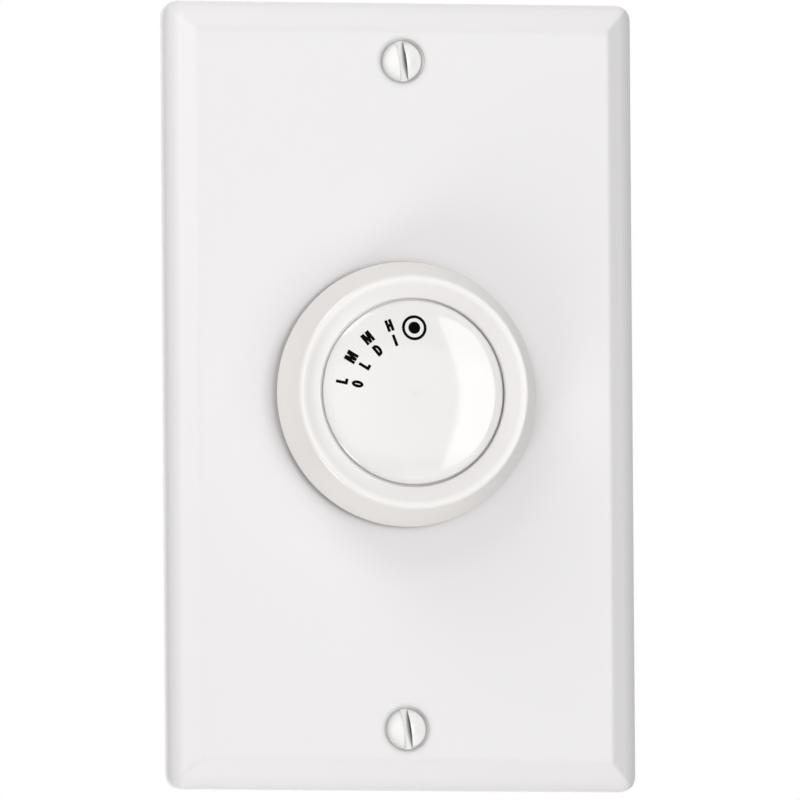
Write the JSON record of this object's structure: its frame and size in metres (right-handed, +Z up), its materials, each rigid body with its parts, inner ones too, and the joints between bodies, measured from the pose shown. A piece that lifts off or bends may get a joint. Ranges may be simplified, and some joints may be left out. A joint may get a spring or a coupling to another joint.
{
  "type": "fan speed control switch",
  "caption": "Flush wall control for a ceiling fan: a rotary speed switch with capacitors behind a strap, a bevelled wall plate and a round tapered knob with a domed cap.",
  "frame": {"origin": "on the knob's axis, midway between the two box screws, in the plane of the finished wall", "axes": "+Y runs along the shaft into the wall, +Z is up, +X is to the right seen from the front; the knob faces -Y"},
  "size_m": [0.0694, 0.0431, 0.1142],
  "materials": {
    "plate_plastic": "smooth moulded, semi-gloss, white",
    "knob_plastic": "smooth moulded, semi-gloss, white",
    "cap_plastic": "polished, white",
    "white_screw": "white enamel over steel",
    "plated_steel": "zinc plated",
    "spring_steel": "bright spring steel",
    "green_steel": "green dyed plating",
    "fibre": "red-brown vulcanised fibre",
    "brass": "bright brass",
    "contact_metal": "silver-faced bronze",
    "black_moulding": "fine-grained, black",
    "brown_moulding": "phenolic, dark brown",
    "light_moulding": "nylon, natural",
    "board": "paper laminate, tan",
    "capacitor_case": "epoxy filled box, yellow",
    "resistor_coat": "tan lacquer"
  },
  "bodies": {
    "control": {"wall_plate": "plate_plastic", "plate_screws": "white_screw", "mounting_strap": "plated_steel", "box_screws": "plated_steel", "screw_retainers": "fibre", "ground_screw": "green_steel", "shaft_bushing": "brass", "bushing_nut": "brass", "lock_washer": "spring_steel", "switch_cover": "plated_steel", "detent_spring": "spring_steel", "switch_base": "brown_moulding", "common_contact": "contact_metal", "contact_high": "contact_metal", "contact_medium": "contact_metal", "contact_medium_low": "contact_metal", "contact_low": "contact_metal", "circuit_board": "board", "capacitor_upper": "capacitor_case", "capacitor_middle": "capacitor_case", "capacitor_lower": "capacitor_case", "bleed_resistor_upper": "resistor_coat", "bleed_resistor_lower": "resistor_coat", "terminal_left": "brass", "terminal_right": "brass", "terminal_screws": "brass", "rear_housing": "black_moulding", "housing_rivets": "plated_steel"},
    "knob": {"knob_body": "knob_plastic", "knob_cap": "cap_plastic", "knob_clip": "spring_steel", "switch_shaft": "plated_steel", "shaft_clip": "spring_steel", "detent_wheel": "light_moulding", "rotor": "brown_moulding", "rotor_contact": "contact_metal", "contact_spring": "spring_steel"}
  },
  "joints": [
    {"name": "knob_turn", "type": "hinge", "parent": "control", "child": "knob", "pos_m": [0, 0, 0], "axis": [0, 1, 0], "range_deg": [0, 80], "deforming": ["detent_spring"]}
  ]
}
